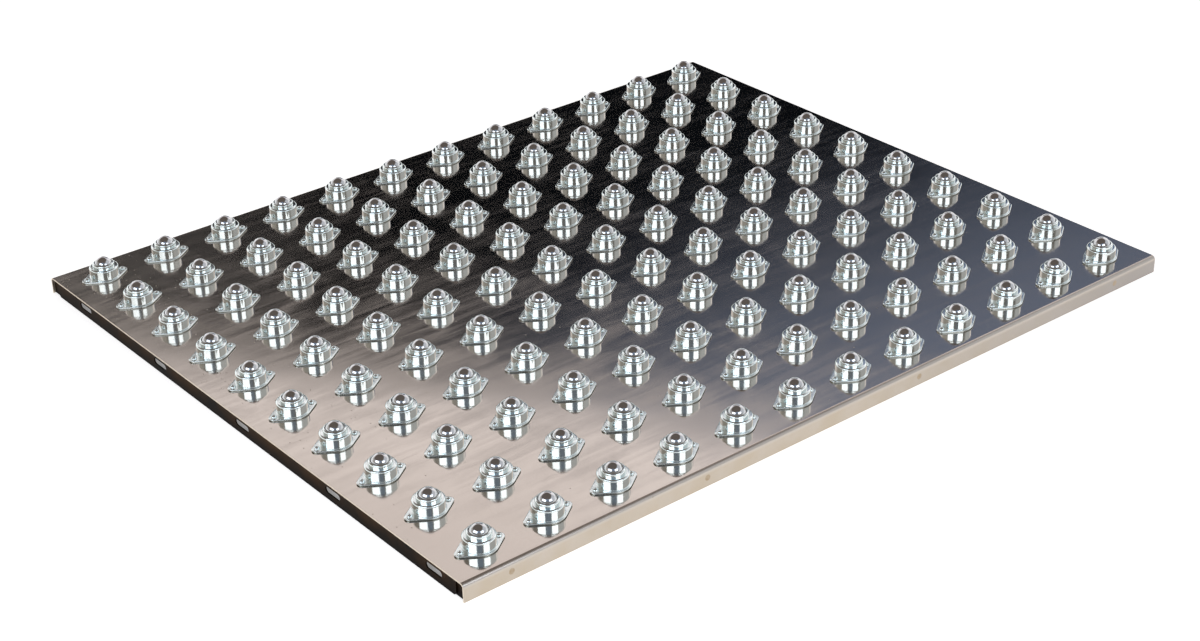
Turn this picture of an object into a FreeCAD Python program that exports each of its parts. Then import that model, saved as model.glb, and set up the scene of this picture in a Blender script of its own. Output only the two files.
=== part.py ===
"""Ball transfer platform: a folded steel deck that carries a grid of flanged ball transfer units.

Frame: +X along the long side, +Y along the short side, +Z up. The origin is the middle of the footprint,
on the surface that the deck's two long flanges stand on. All sizes are millimetres and degrees.
"""

import FreeCAD, Part
import math
import os

import Sketcher

SIZES = {
    # Deck: one sheet with its two long sides folded down.
    "deck_length": 1220,
    "deck_width": 1000,
    "deck_height": 25,
    "sheet_gauge": 2,
    "bend_radius": 4,
    # Grid of units.
    "unit_pitch": 100,
    "units_long": 12,
    "units_wide": 10,
    # End panels, set in under the deck's cut ends, each with a row of slots.
    "end_recess": 1.5,
    "end_corner_gap": 17,
    "end_lip": 20,
    "end_bend_radius": 1,
    "end_corner_chamfer": 4,
    "slot_length": 32,
    "slot_width": 9,
    "slot_height": 13.5,
    "slot_pitch": 210,
    "slot_count": 5,
    "first_slot_offset": 60,
    # Corner gussets that tie each end panel to a long flange.
    "gusset_long_leg": 84,
    "gusset_short_leg": 36,
    "gusset_height": 17,
    # Stiffening channels under the deck.
    "rib_offset": 200,
    "rib_width": 30,
    "rib_gauge": 1.5,
    "rib_depth": 20,
    "rib_end_gap": 5,
    "rib_bend_radius": 1.5,
    # Diamond flange, shared by base plate and housing.
    "flange_radius": 23,
    "flange_tip_radius": 7,
    "flange_hole_offset": 28,
    "flange_hole_radius": 2.1,
    "base_plate_gauge": 1.2,
    "housing_gauge": 1.3,
    # Housing body.
    "body_radius": 20,
    "body_wall": 1.2,
    "shoulder_height": 17.4,
    "shoulder_fillet": 2.5,
    "shoulder_bore_radius": 14.2,
    "root_fillet": 1.2,
    # Ball retainer: the domed ring over the ball.
    "retainer_radius": 15.5,
    "retainer_skirt_radius": 14.1,
    "retainer_inner_radius": 13.4,
    "retainer_skirt_foot": 15.4,
    "retainer_cone_foot": 19.8,
    "retainer_lip_radius": 12,
    "retainer_lip_height": 23.4,
    "retainer_top": 24.4,
    "retainer_dome_fillet": 3.4,
    # Load ball, the support balls that it runs on and the cup that they run in.
    "ball_radius": 12.7,
    "ball_height": 18.25,
    "support_ball_radius": 1.5875,
    "support_gap": 0.05,
    "support_ring_count": 6,
    "support_ring_angle": 14,
    "cup_inner_radius": 16,
    "cup_outer_radius": 17,
    "cup_rim_height": 15,
    # Blind rivets.
    "rivet_shank_radius": 2,
    "rivet_head_radius": 4.2,
    "rivet_head_height": 1.8,
    "rivet_head_fillet": 1.2,
    "rivet_eye_radius": 1.1,
    "rivet_eye_depth": 0.7,
    "rivet_bulb_radius": 3.1,
    "rivet_bulb_length": 3.6,
    "rivet_tail_length": 5,
}

ORIGIN, X_AXIS, Y_AXIS = -1, -1, -2
START, END, CENTRE = 1, 2, 3
EDGE_TOLERANCE = 0.01
FULL_TURN = 360
UPRIGHT = FreeCAD.Vector(0, 0, 1)
FIRST_UNIT_X = "-sizes.unit_pitch * (sizes.units_long - 1) / 2"
FIRST_UNIT_Y = "-sizes.unit_pitch * (sizes.units_wide - 1) / 2"
DECK_UNDERSIDE = "deck_height - sheet_gauge"
FLANGE_TOP = "base_plate_gauge + housing_gauge"

doc = FreeCAD.newDocument("ball_transfer_platform")


# Driving dimensions

def make_sheet():
    """Put every driving dimension in a spreadsheet cell that has its name as the alias."""
    sheet = doc.addObject("Spreadsheet::Sheet", "sizes")
    for row, (alias, value) in enumerate(SIZES.items(), start=1):
        cell = f"A{row}"
        sheet.set(cell, str(value))
        sheet.setAlias(cell, alias)
    doc.recompute()
    return sheet


sizes = make_sheet()


def amount(text):
    """Value of a sum of named sizes and numbers, such as 'deck_length/2 - sheet_gauge'."""
    total, sign = 0.0, 1.0
    for word in text.split():
        if word in ("+", "-"):
            sign = 1.0 if word == "+" else -1.0
            continue
        name, _, divisor = word.partition("/")
        term = sizes.get(name) if name in SIZES else float(name)
        total += sign * term / float(divisor or 1)
    return total


def formula(text):
    """The same sum as an expression on the spreadsheet's cells."""
    words = text.split()
    return " ".join(f"sizes.{word}" if word.partition("/")[0] in SIZES else word for word in words)


def mirrored(text):
    """The same sum with every sign turned round."""
    signed = text if text[0] in "+-" else f"+ {text}"
    turned = " ".join({"+": "-", "-": "+"}.get(word, word) for word in signed.split())
    return turned.removeprefix("+ ")


def to_side(text, side):
    return text if side > 0 else mirrored(text)


# Sketches

def new_body(label):
    body = doc.addObject("PartDesign::Body", label)
    body.Label = label
    return body


def origin_feature(body, role):
    return next(feature for feature in body.Origin.OriginFeatures if feature.Role == role)


def new_sketch(body, name, plane):
    """An empty sketch on one of the body's origin planes."""
    sketch = body.newObject("Sketcher::SketchObject", name)
    sketch.AttachmentSupport = (origin_feature(body, plane), [""])
    sketch.MapMode = "FlatFace"
    return sketch


def hold(sketch, rule, expression):
    """Add a dimension to a sketch and bind it to the spreadsheet."""
    sketch.setExpression(f"Constraints[{sketch.addConstraint(rule)}]", expression)


def pin(sketch, element, point, across, up):
    """Hold a point of a sketch element at named distances from the sketch's origin."""
    for kind, axis, text in (("DistanceX", Y_AXIS, across), ("DistanceY", X_AXIS, up)):
        if text == "0":
            sketch.addConstraint(Sketcher.Constraint("PointOnObject", element, point, axis))
        else:
            rule = Sketcher.Constraint(kind, ORIGIN, START, element, point, amount(text))
            hold(sketch, rule, formula(text))


def hold_radius(sketch, element, text):
    hold(sketch, Sketcher.Constraint("Radius", element, amount(text)), formula(text))


def add_polygon(sketch, corners):
    """A closed outline of straight lines through corners that are given as named sums."""
    points = [FreeCAD.Vector(amount(across), amount(up), 0) for across, up in corners]
    for start, end in zip(points, points[1:] + points[:1]):
        sketch.addGeometry(Part.LineSegment(start, end))
    count = len(corners)
    for k, (across, up) in enumerate(corners):
        sketch.addConstraint(Sketcher.Constraint("Coincident", k, END, (k + 1) % count, START))
        pin(sketch, k, START, across, up)


def add_circle(sketch, across, up, radius):
    centre = FreeCAD.Vector(amount(across), amount(up), 0)
    element = sketch.addGeometry(Part.Circle(centre, UPRIGHT, amount(radius)))
    pin(sketch, element, CENTRE, across, up)
    hold_radius(sketch, element, radius)


def add_arc(sketch, centre, radius, start_angle, end_angle):
    return sketch.addGeometry(Part.ArcOfCircle(Part.Circle(centre, UPRIGHT, radius), start_angle, end_angle))


def add_line(sketch, start, end):
    return sketch.addGeometry(Part.LineSegment(start, end))


def join_smoothly(sketch, loop):
    """Make each element of a closed loop run smoothly into the next."""
    for element, following in zip(loop, loop[1:] + loop[:1]):
        sketch.addConstraint(Sketcher.Constraint("Tangent", element, END, following, START))


def add_diamond(sketch):
    """Flange outline: a round middle and two rounded ears, joined by tangent lines."""
    middle, tip = amount("flange_radius"), amount("flange_tip_radius")
    zero, ear = FreeCAD.Vector(0, 0, 0), FreeCAD.Vector(amount("flange_hole_offset"), 0, 0)
    lean = math.acos((middle - tip) / ear.x)
    back = math.pi - lean

    def on(centre, radius, angle):
        return centre + FreeCAD.Vector(radius * math.cos(angle), radius * math.sin(angle), 0)

    right = add_arc(sketch, ear, tip, -lean, lean)
    upper_right = add_line(sketch, on(ear, tip, lean), on(zero, middle, lean))
    top = add_arc(sketch, zero, middle, lean, back)
    upper_left = add_line(sketch, on(zero, middle, back), on(-ear, tip, back))
    left = add_arc(sketch, -ear, tip, back, 2 * math.pi - back)
    lower_left = add_line(sketch, on(-ear, tip, -back), on(zero, middle, -back))
    bottom = add_arc(sketch, zero, middle, math.pi + lean, 2 * math.pi - lean)
    lower_right = add_line(sketch, on(zero, middle, -lean), on(ear, tip, -lean))
    join_smoothly(sketch, [right, upper_right, top, upper_left, left, lower_left, bottom, lower_right])
    for arc in (top, bottom):
        pin(sketch, arc, CENTRE, "0", "0")
        hold_radius(sketch, arc, "flange_radius")
    for arc, across in ((right, "flange_hole_offset"), (left, "- flange_hole_offset")):
        pin(sketch, arc, CENTRE, across, "0")
        hold_radius(sketch, arc, "flange_tip_radius")


def add_flange_holes(sketch):
    for across in ("flange_hole_offset", "- flange_hole_offset"):
        add_circle(sketch, across, "0", "flange_hole_radius")


def add_slot(sketch, across, up):
    """An end panel's slot, which runs along the sketch's first axis about a named point."""
    centre = FreeCAD.Vector(amount(across), amount(up), 0)
    radius = amount("slot_width/2")
    reach = FreeCAD.Vector(amount("slot_length/2 - slot_width/2"), 0, 0)
    rise = FreeCAD.Vector(0, radius, 0)
    right = add_arc(sketch, centre + reach, radius, -math.pi / 2, math.pi / 2)
    top = add_line(sketch, centre + reach + rise, centre - reach + rise)
    left = add_arc(sketch, centre - reach, radius, math.pi / 2, 3 * math.pi / 2)
    bottom = add_line(sketch, centre - reach - rise, centre + reach - rise)
    join_smoothly(sketch, [right, top, left, bottom])
    pin(sketch, right, CENTRE, f"{across} + slot_length/2 - slot_width/2", up)
    pin(sketch, left, CENTRE, f"{across} - slot_length/2 + slot_width/2", up)
    hold_radius(sketch, right, "slot_width/2")


# Features

def add_pad(body, name, sketch, length, both_ways=False):
    pad = body.newObject("PartDesign::Pad", name)
    pad.Profile = sketch
    pad.Midplane = both_ways
    pad.setExpression("Length", formula(length))
    return pad


def add_pocket(body, name, sketch):
    """Cut the sketch right through the body, both ways."""
    pocket = body.newObject("PartDesign::Pocket", name)
    pocket.Profile = sketch
    pocket.Type = "ThroughAll"
    pocket.Midplane = True
    return pocket


def add_turning(body, name, corners):
    """A full turn of a polygon about the upright axis. Corners are distances out and up."""
    sketch = new_sketch(body, f"{name}_section", "XZ_Plane")
    add_polygon(sketch, corners)
    turning = body.newObject("PartDesign::Revolution", name)
    turning.Profile = sketch
    turning.ReferenceAxis = (sketch, ["V_Axis"])
    turning.Angle = FULL_TURN
    return turning


def edge_names(base, chosen):
    """Names of the base feature's edges that the chosen test accepts."""
    doc.recompute()
    names = [f"Edge{k}" for k, edge in enumerate(base.Shape.Edges, start=1) if chosen(edge)]
    if not names:
        raise RuntimeError(f"no edge found on {base.Label}")
    return names


def add_fillet(body, name, base, radius, chosen):
    fillet = body.newObject("PartDesign::Fillet", name)
    fillet.Base = (base, edge_names(base, chosen))
    fillet.setExpression("Radius", formula(radius))
    return fillet


def add_step(body, name, axis, pitch, count):
    """A row of copies along one axis of the body."""
    step = body.newObject("PartDesign::LinearPattern", name)
    step.Direction = (origin_feature(body, axis), [""])
    step.setExpression("Length", f"sizes.{pitch} * (sizes.{count} - 1)")
    step.setExpression("Occurrences", f"sizes.{count}")
    return step


def near(a, b):
    return abs(a - b) < EDGE_TOLERANCE


def is_level(box, height):
    return near(box.ZMin, amount(height)) and near(box.ZMax, amount(height))


def ring_edge(radius, height):
    """Test for a level round edge about the upright axis."""
    def chosen(edge):
        is_ring = isinstance(edge.Curve, Part.Circle) and near(edge.Curve.Radius, amount(radius))
        return is_ring and is_level(edge.BoundBox, height)
    return chosen


def fold_along_x(width, height):
    """Test for an edge along X, this far out on either side and this high."""
    def chosen(edge):
        box = edge.BoundBox
        at_width = near(abs(box.YMin), amount(width)) and near(box.YMin, box.YMax)
        return at_width and is_level(box, height) and not near(box.XLength, 0)
    return chosen


def fold_along_y(across, height):
    """Test for an edge along Y, at this place along X and this high."""
    def chosen(edge):
        box = edge.BoundBox
        at_place = near(box.XMin, amount(across)) and near(box.XMin, box.XMax)
        return at_place and is_level(box, height) and not near(box.YLength, 0)
    return chosen


# Deck and its stiffening

def make_deck_sheet():
    """One folded sheet: a flat top with a flange turned down along each long side, drilled for the rivets."""
    body = new_body("deck_sheet")
    section = new_sketch(body, "deck_section", "YZ_Plane")
    outside, inside = "deck_width/2", "deck_width/2 - sheet_gauge"
    add_polygon(section, [
        (mirrored(outside), "0"),
        (mirrored(inside), "0"),
        (mirrored(inside), DECK_UNDERSIDE),
        (inside, DECK_UNDERSIDE),
        (inside, "0"),
        (outside, "0"),
        (outside, "deck_height"),
        (mirrored(outside), "deck_height"),
    ])
    fold = add_pad(body, "deck_fold", section, "deck_length", both_ways=True)
    inner = add_fillet(body, "inner_bends", fold, "bend_radius", fold_along_x(inside, DECK_UNDERSIDE))
    outer_edges = fold_along_x(outside, "deck_height")
    add_fillet(body, "outer_bends", inner, "bend_radius + sheet_gauge", outer_edges)

    pair = new_sketch(body, "rivet_hole_pair", "XY_Plane")
    for sign in ("-", "+"):
        place = f"{FIRST_UNIT_X} {sign} sizes.flange_hole_offset"
        reach = amount(f"{sign} flange_hole_offset")
        centre = FreeCAD.Vector(unit_places("units_long")[0] + reach, unit_places("units_wide")[0], 0)
        hole = pair.addGeometry(Part.Circle(centre, UPRIGHT, amount("flange_hole_radius")))
        hold(pair, Sketcher.Constraint("DistanceX", ORIGIN, START, hole, CENTRE, centre.x), place)
        hold(pair, Sketcher.Constraint("DistanceY", ORIGIN, START, hole, CENTRE, centre.y), FIRST_UNIT_Y)
        hold_radius(pair, hole, "flange_hole_radius")
    pocket = add_pocket(body, "rivet_holes", pair)
    doc.recompute()
    grid = body.newObject("PartDesign::MultiTransform", "rivet_hole_grid")
    grid.Originals = [pocket]
    along = add_step(body, "holes_along", "X_Axis", "unit_pitch", "units_long")
    across = add_step(body, "holes_across", "Y_Axis", "unit_pitch", "units_wide")
    grid.Transformations = [along, across]
    body.Tip = grid
    return body


def make_end_panel(label, side):
    """An angle under one cut end of the deck: a slotted web, and a lip that is welded under the sheet."""
    body = new_body(label)
    face = to_side("deck_length/2 - end_recess", side)
    inner = to_side("deck_length/2 - end_recess - sheet_gauge", side)
    lip_end = to_side("deck_length/2 - end_recess - end_lip", side)
    lip_under = f"{DECK_UNDERSIDE} - sheet_gauge"
    section = new_sketch(body, f"{label}_section", "XZ_Plane")
    add_polygon(section, [
        (face, "0"),
        (face, DECK_UNDERSIDE),
        (lip_end, DECK_UNDERSIDE),
        (lip_end, lip_under),
        (inner, lip_under),
        (inner, "0"),
    ])
    web_length = "deck_width - end_corner_gap - end_corner_gap"
    angle = add_pad(body, f"{label}_angle", section, web_length, both_ways=True)
    inner_edge, outer_edge = fold_along_y(inner, lip_under), fold_along_y(face, DECK_UNDERSIDE)
    inner_bend = add_fillet(body, f"{label}_inner_bend", angle, "end_bend_radius", inner_edge)
    outer_radius = "end_bend_radius + sheet_gauge"
    outer_bend = add_fillet(body, f"{label}_outer_bend", inner_bend, outer_radius, outer_edge)
    chamfer = body.newObject("PartDesign::Chamfer", f"{label}_corners")
    lower_corners = fold_along_x("deck_width/2 - end_corner_gap", "0")
    chamfer.Base = (outer_bend, edge_names(outer_bend, lower_corners))
    chamfer.setExpression("Size", formula("end_corner_chamfer"))

    outline = new_sketch(body, f"{label}_slot_outline", "YZ_Plane")
    add_slot(outline, "- deck_width/2 + first_slot_offset", "slot_height")
    slot = add_pocket(body, f"{label}_slot", outline)
    row = add_step(body, f"{label}_slots", "Y_Axis", "slot_pitch", "slot_count")
    row.Originals = [slot]
    body.Tip = row
    return body


def make_corner_gusset(label, end, side):
    """An angle that closes the gap beside an end panel and ties it to a long flange."""
    body = new_body(label)
    outline = new_sketch(body, f"{label}_outline", "XY_Plane")
    back = "deck_length/2 - end_recess - sheet_gauge"
    flank = "deck_width/2 - sheet_gauge"
    corners = [
        (back, flank),
        (f"{back} - gusset_long_leg", flank),
        (f"{back} - gusset_long_leg", f"{flank} - sheet_gauge"),
        (f"{back} - sheet_gauge", f"{flank} - sheet_gauge"),
        (f"{back} - sheet_gauge", f"{flank} - gusset_short_leg"),
        (back, f"{flank} - gusset_short_leg"),
    ]
    add_polygon(outline, [(to_side(across, end), to_side(up, side)) for across, up in corners])
    add_pad(body, f"{label}_angle", outline, "gusset_height")
    return body


def make_cross_rib(label, side):
    """A channel across the deck, with its web welded under the sheet between two columns of units."""
    body = new_body(label)
    section = new_sketch(body, f"{label}_section", "XZ_Plane")
    foot = f"{DECK_UNDERSIDE} - rib_depth"
    web_under = f"{DECK_UNDERSIDE} - rib_gauge"
    left, right = "rib_offset - rib_width/2", "rib_offset + rib_width/2"
    corners = [
        (left, foot),
        (left, DECK_UNDERSIDE),
        (right, DECK_UNDERSIDE),
        (right, foot),
        (f"{right} - rib_gauge", foot),
        (f"{right} - rib_gauge", web_under),
        (f"{left} + rib_gauge", web_under),
        (f"{left} + rib_gauge", foot),
    ]
    add_polygon(section, [(to_side(across, side), up) for across, up in corners])
    rib_length = "deck_width - sheet_gauge - sheet_gauge - rib_end_gap - rib_end_gap"
    channel = add_pad(body, f"{label}_channel", section, rib_length, both_ways=True)

    def outer_fold(edge):
        return any(fold_along_y(to_side(across, side), DECK_UNDERSIDE)(edge) for across in (left, right))

    add_fillet(body, f"{label}_bends", channel, "rib_bend_radius", outer_fold)
    return body


# Pieces of one ball transfer unit, with the unit's axis on Z and the deck's top face at zero

def make_base_plate():
    """The flat diamond plate that closes the bottom of a unit."""
    body = new_body("base_plate")
    outline = new_sketch(body, "base_plate_outline", "XY_Plane")
    add_diamond(outline)
    add_flange_holes(outline)
    add_pad(body, "base_plate_blank", outline, "base_plate_gauge")
    return body


def make_housing():
    """The pressed housing: a round wall with a shoulder at the top and a diamond flange at the foot."""
    body = new_body("housing")
    bore = "body_radius - body_wall"
    shoulder_under = "shoulder_height - body_wall"
    wall = add_turning(body, "housing_wall", [
        (bore, "base_plate_gauge"),
        ("body_radius", "base_plate_gauge"),
        ("body_radius", "shoulder_height"),
        ("shoulder_bore_radius", "shoulder_height"),
        ("shoulder_bore_radius", shoulder_under),
        (bore, shoulder_under),
    ])
    shoulder = add_fillet(body, "shoulder_round", wall, "shoulder_fillet", ring_edge("body_radius", "shoulder_height"))
    inner_round = "shoulder_fillet - body_wall"
    add_fillet(body, "shoulder_inner_round", shoulder, inner_round, ring_edge(bore, shoulder_under))
    outline = new_sketch(body, "housing_flange_outline", "XY_Plane")
    outline.setExpression("AttachmentOffset.Base.z", formula("base_plate_gauge"))
    add_diamond(outline)
    add_flange_holes(outline)
    add_circle(outline, "0", "0", bore)
    flange = add_pad(body, "housing_flange", outline, "housing_gauge")
    add_fillet(body, "flange_root", flange, "root_fillet", ring_edge("body_radius", FLANGE_TOP))
    return body


def make_retainer():
    """The domed ring over the ball, with a skirt that is set into the housing's shoulder."""
    body = new_body("retainer")
    dome = add_turning(body, "retainer_ring", [
        ("retainer_inner_radius", "retainer_skirt_foot"),
        ("retainer_skirt_radius", "retainer_skirt_foot"),
        ("retainer_skirt_radius", "shoulder_height"),
        ("retainer_radius", "shoulder_height"),
        ("retainer_radius", "retainer_top"),
        ("retainer_lip_radius", "retainer_top"),
        ("retainer_lip_radius", "retainer_lip_height"),
        ("retainer_inner_radius", "retainer_cone_foot"),
    ])
    add_fillet(body, "retainer_dome", dome, "retainer_dome_fillet", ring_edge("retainer_radius", "retainer_top"))
    return body


def make_bearing_cup():
    """The hardened bowl that the support balls run in, cut off level below the housing's shoulder."""
    label = "bearing_cup"
    outer, inner = doc.addObject("Part::Sphere", "cup_outside"), doc.addObject("Part::Sphere", "cup_inside")
    outer.setExpression("Radius", formula("cup_outer_radius"))
    inner.setExpression("Radius", formula("cup_inner_radius"))
    shell = doc.addObject("Part::Cut", "cup_shell")
    shell.Base, shell.Tool = outer, inner
    above = doc.addObject("Part::Cylinder", "cup_above_rim")
    above.setExpression("Radius", formula("cup_outer_radius + 1"))
    above.setExpression("Height", formula("cup_outer_radius + cup_outer_radius"))
    above.setExpression("Placement.Base.z", formula("cup_rim_height - ball_height"))
    cup = doc.addObject("Part::Cut", label)
    cup.Base, cup.Tool = shell, above
    cup.setExpression("Placement.Base.z", formula("ball_height"))
    return cup


def make_ball(label, radius):
    ball = doc.addObject("Part::Sphere", label)
    ball.setExpression("Radius", formula(radius))
    return ball


def make_rivet():
    """A blind rivet: a domed head on the flange, and a bulb that is drawn up under the deck."""
    body = new_body("rivet")
    head_top = f"{FLANGE_TOP} + rivet_head_height"
    shank = add_turning(body, "rivet_body", [
        ("0", "- sheet_gauge - rivet_tail_length"),
        ("rivet_shank_radius", "- sheet_gauge - rivet_tail_length"),
        ("rivet_bulb_radius", "- sheet_gauge - rivet_bulb_length"),
        ("rivet_bulb_radius", "- sheet_gauge"),
        ("rivet_shank_radius", "- sheet_gauge"),
        ("rivet_shank_radius", FLANGE_TOP),
        ("rivet_head_radius", FLANGE_TOP),
        ("rivet_head_radius", head_top),
        ("rivet_eye_radius", head_top),
        ("rivet_eye_radius", f"{head_top} - rivet_eye_depth"),
        ("0", f"{head_top} - rivet_eye_depth"),
    ])
    add_fillet(body, "rivet_dome", shank, "rivet_head_fillet", ring_edge("rivet_head_radius", head_top))
    return body


# Groups of like pieces on the grid

def unit_places(count):
    """Places of the units along one side of the grid, about the middle."""
    number = int(amount(count))
    return [amount("unit_pitch") * (k - (number - 1) / 2) for k in range(number)]


def place_group(label, shape, offsets, place):
    """One sub-part that holds a copy of a shape at every offset, as separate solids."""
    group = doc.addObject("Part::Feature", label)
    group.Shape = Part.makeCompound([shape.translated(offset) for offset in offsets])
    group.Placement = FreeCAD.Placement(place, FreeCAD.Rotation())
    return group


def support_ball_offsets():
    """Centres of the lowest support balls about the load ball: one at the bottom and a ring round it."""
    reach = amount("ball_radius + support_gap + support_ball_radius")
    lean = math.radians(amount("support_ring_angle"))
    count = int(amount("support_ring_count"))
    offsets = [FreeCAD.Vector(0, 0, -reach)]
    for k in range(count):
        turn = 2 * math.pi * k / count
        out = reach * math.sin(lean)
        offsets.append(FreeCAD.Vector(out * math.cos(turn), out * math.sin(turn), -reach * math.cos(lean)))
    return offsets


def make_groups():
    """Put the units on the deck: rows for the pieces that are seen or move, one group for each kind inside."""
    base_plate, housing, retainer = make_base_plate(), make_housing(), make_retainer()
    cup, rivet = make_bearing_cup(), make_rivet()
    load_ball = make_ball("load_ball", "ball_radius")
    support_ball = make_ball("support_ball", "support_ball_radius")
    doc.recompute()

    columns = [FreeCAD.Vector(x, 0, 0) for x in unit_places("units_long")]
    rows = [FreeCAD.Vector(0, y, 0) for y in unit_places("units_wide")]
    grid = [column + row for row in rows for column in columns]
    deck_top = FreeCAD.Vector(0, 0, amount("deck_height"))
    ball_rise = FreeCAD.Vector(0, 0, amount("ball_height"))
    ear = FreeCAD.Vector(amount("flange_hole_offset"), 0, 0)
    groups = [
        place_group("base_plates", base_plate.Shape, grid, deck_top),
        place_group("bearing_cups", cup.Shape, grid, deck_top),
    ]
    bed = [unit + offset for unit in grid for offset in support_ball_offsets()]
    groups.append(place_group("support_balls", support_ball.Shape, bed, deck_top + ball_rise))
    for number, row in enumerate(rows, start=1):
        place = row + deck_top
        groups.append(place_group(f"housings_row_{number:02d}", housing.Shape, columns, place))
        groups.append(place_group(f"retainers_row_{number:02d}", retainer.Shape, columns, place))
        groups.append(place_group(f"load_balls_row_{number:02d}", load_ball.Shape, columns, place + ball_rise))
        rivet_places = [column + reach for column in columns for reach in (-ear, ear)]
        groups.append(place_group(f"rivets_row_{number:02d}", rivet.Shape, rivet_places, place))
    return groups


def make_parts():
    parts = [make_deck_sheet()]
    for end_name, end in (("left", -1), ("right", 1)):
        parts.append(make_end_panel(f"end_panel_{end_name}", end))
        parts.append(make_cross_rib(f"cross_rib_{end_name}", end))
        for side_name, side in (("front", -1), ("back", 1)):
            parts.append(make_corner_gusset(f"corner_gusset_{side_name}_{end_name}", end, side))
    return parts + make_groups()


def write_parts(parts):
    """Stop on any failed object or shape, then write each sub-part to its own file."""
    doc.recompute()
    failed = [item.Label for item in doc.Objects if {"Invalid", "Error"} & set(item.State)]
    failed += [part.Label for part in parts if part.Shape.isNull() or not part.Shape.isValid()]
    if failed:
        raise RuntimeError(f"failed objects: {failed}")
    os.makedirs("parts", exist_ok=True)
    for part in parts:
        part.Shape.exportStep(f"parts/{part.Label}.step")
        print(f"{part.Label}: {len(part.Shape.Solids)} solids, {part.Shape.Volume:.0f} mm3")


write_parts(make_parts())
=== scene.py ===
"""Ball transfer platform: finishes, turned and pressed pieces, and a plain studio.

Everything is in metres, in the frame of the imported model: +X along the long side, +Y along the short side,
+Z up, with the origin in the middle of the footprint.
"""

import math

import bmesh
import bpy
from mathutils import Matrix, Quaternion, Vector
from mathutils.geometry import convex_hull_2d


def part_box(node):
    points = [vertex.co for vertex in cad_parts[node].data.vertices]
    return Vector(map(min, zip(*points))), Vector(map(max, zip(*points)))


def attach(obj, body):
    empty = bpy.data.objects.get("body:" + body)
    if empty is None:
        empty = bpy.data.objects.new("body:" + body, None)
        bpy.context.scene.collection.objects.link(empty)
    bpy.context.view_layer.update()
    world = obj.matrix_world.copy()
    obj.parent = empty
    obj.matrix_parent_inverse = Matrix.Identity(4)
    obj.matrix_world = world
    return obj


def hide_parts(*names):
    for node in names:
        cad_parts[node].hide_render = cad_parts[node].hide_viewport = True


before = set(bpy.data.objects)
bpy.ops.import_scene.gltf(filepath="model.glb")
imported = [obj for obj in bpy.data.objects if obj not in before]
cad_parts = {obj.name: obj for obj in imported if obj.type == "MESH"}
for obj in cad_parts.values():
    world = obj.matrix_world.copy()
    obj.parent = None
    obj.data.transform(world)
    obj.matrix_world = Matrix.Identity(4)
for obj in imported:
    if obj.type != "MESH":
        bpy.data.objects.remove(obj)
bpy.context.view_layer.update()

bl_info = {
    "name": "Ball transfer platform",
    "version": (1, 0, 0),
    "blender": (4, 5, 0),
    "location": "3D View > Sidebar > Platform",
    "description": "Dresses a folded deck with a grid of ball transfer units",
    "category": "Object",
}

MM = 0.001

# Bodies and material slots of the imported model
DECK = "deck"
BALLS = "ball_row_"

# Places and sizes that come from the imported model
DECK_LOW, DECK_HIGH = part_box("deck_sheet")
ROWS = sorted(name.rpartition("_")[2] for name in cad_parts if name.startswith("load_balls_row_"))
BALL_BOXES = {row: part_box(f"load_balls_row_{row}") for row in ROWS}
ROW_Y = {row: (low.y + high.y) / 2 for row, (low, high) in BALL_BOXES.items()}
BALL_RADIUS = (BALL_BOXES[ROWS[0]][1].z - BALL_BOXES[ROWS[0]][0].z) / 2
BALL_HEIGHT = BALL_BOXES[ROWS[0]][1].z - BALL_RADIUS - DECK_HIGH.z
PITCH = ROW_Y[ROWS[1]] - ROW_Y[ROWS[0]]
GRID_LENGTH = BALL_BOXES[ROWS[0]][1].x - BALL_BOXES[ROWS[0]][0].x - 2 * BALL_RADIUS
COLUMN_COUNT = round(GRID_LENGTH / PITCH) + 1
COLUMN_X = [PITCH * (k - (COLUMN_COUNT - 1) / 2) for k in range(COLUMN_COUNT)]
BASE_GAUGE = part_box("base_plates")[1].z - DECK_HIGH.z
HOUSING_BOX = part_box(f"housings_row_{ROWS[0]}")
FLANGE_REACH = HOUSING_BOX[1].x - COLUMN_X[-1]
SHOULDER_HEIGHT = HOUSING_BOX[1].z - DECK_HIGH.z
RETAINER_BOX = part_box(f"retainers_row_{ROWS[0]}")
RETAINER_RADIUS = RETAINER_BOX[1].x - COLUMN_X[-1]
RETAINER_FOOT = RETAINER_BOX[0].z - DECK_HIGH.z
RIVET_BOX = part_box(f"rivets_row_{ROWS[0]}")
RIVET_TAIL = RIVET_BOX[0].z - DECK_HIGH.z

# Where the spot welds sit along the long flanges
WELD_X = (-0.542, -0.243, 0.127, 0.522)


def linear(code):
    """Linear colour of an sRGB hex code."""
    channels = [int(code[k:k + 2], 16) / 255 for k in (1, 3, 5)]
    return tuple(c / 12.92 if c <= 0.04045 else ((c + 0.055) / 1.055) ** 2.4 for c in channels)


# Sizes, finishes and studio settings that a user would change

def length(name, description, value):
    """A property for a size in metres."""
    return bpy.props.FloatProperty(name=name, description=description, default=value, min=0.0, unit="LENGTH")


def colour(name, description, code):
    """A property for a colour that is written as an sRGB hex code."""
    return bpy.props.FloatVectorProperty(
        name=name, description=description, default=linear(code), size=3, min=0.0, max=1.0, subtype="COLOR")


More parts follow.
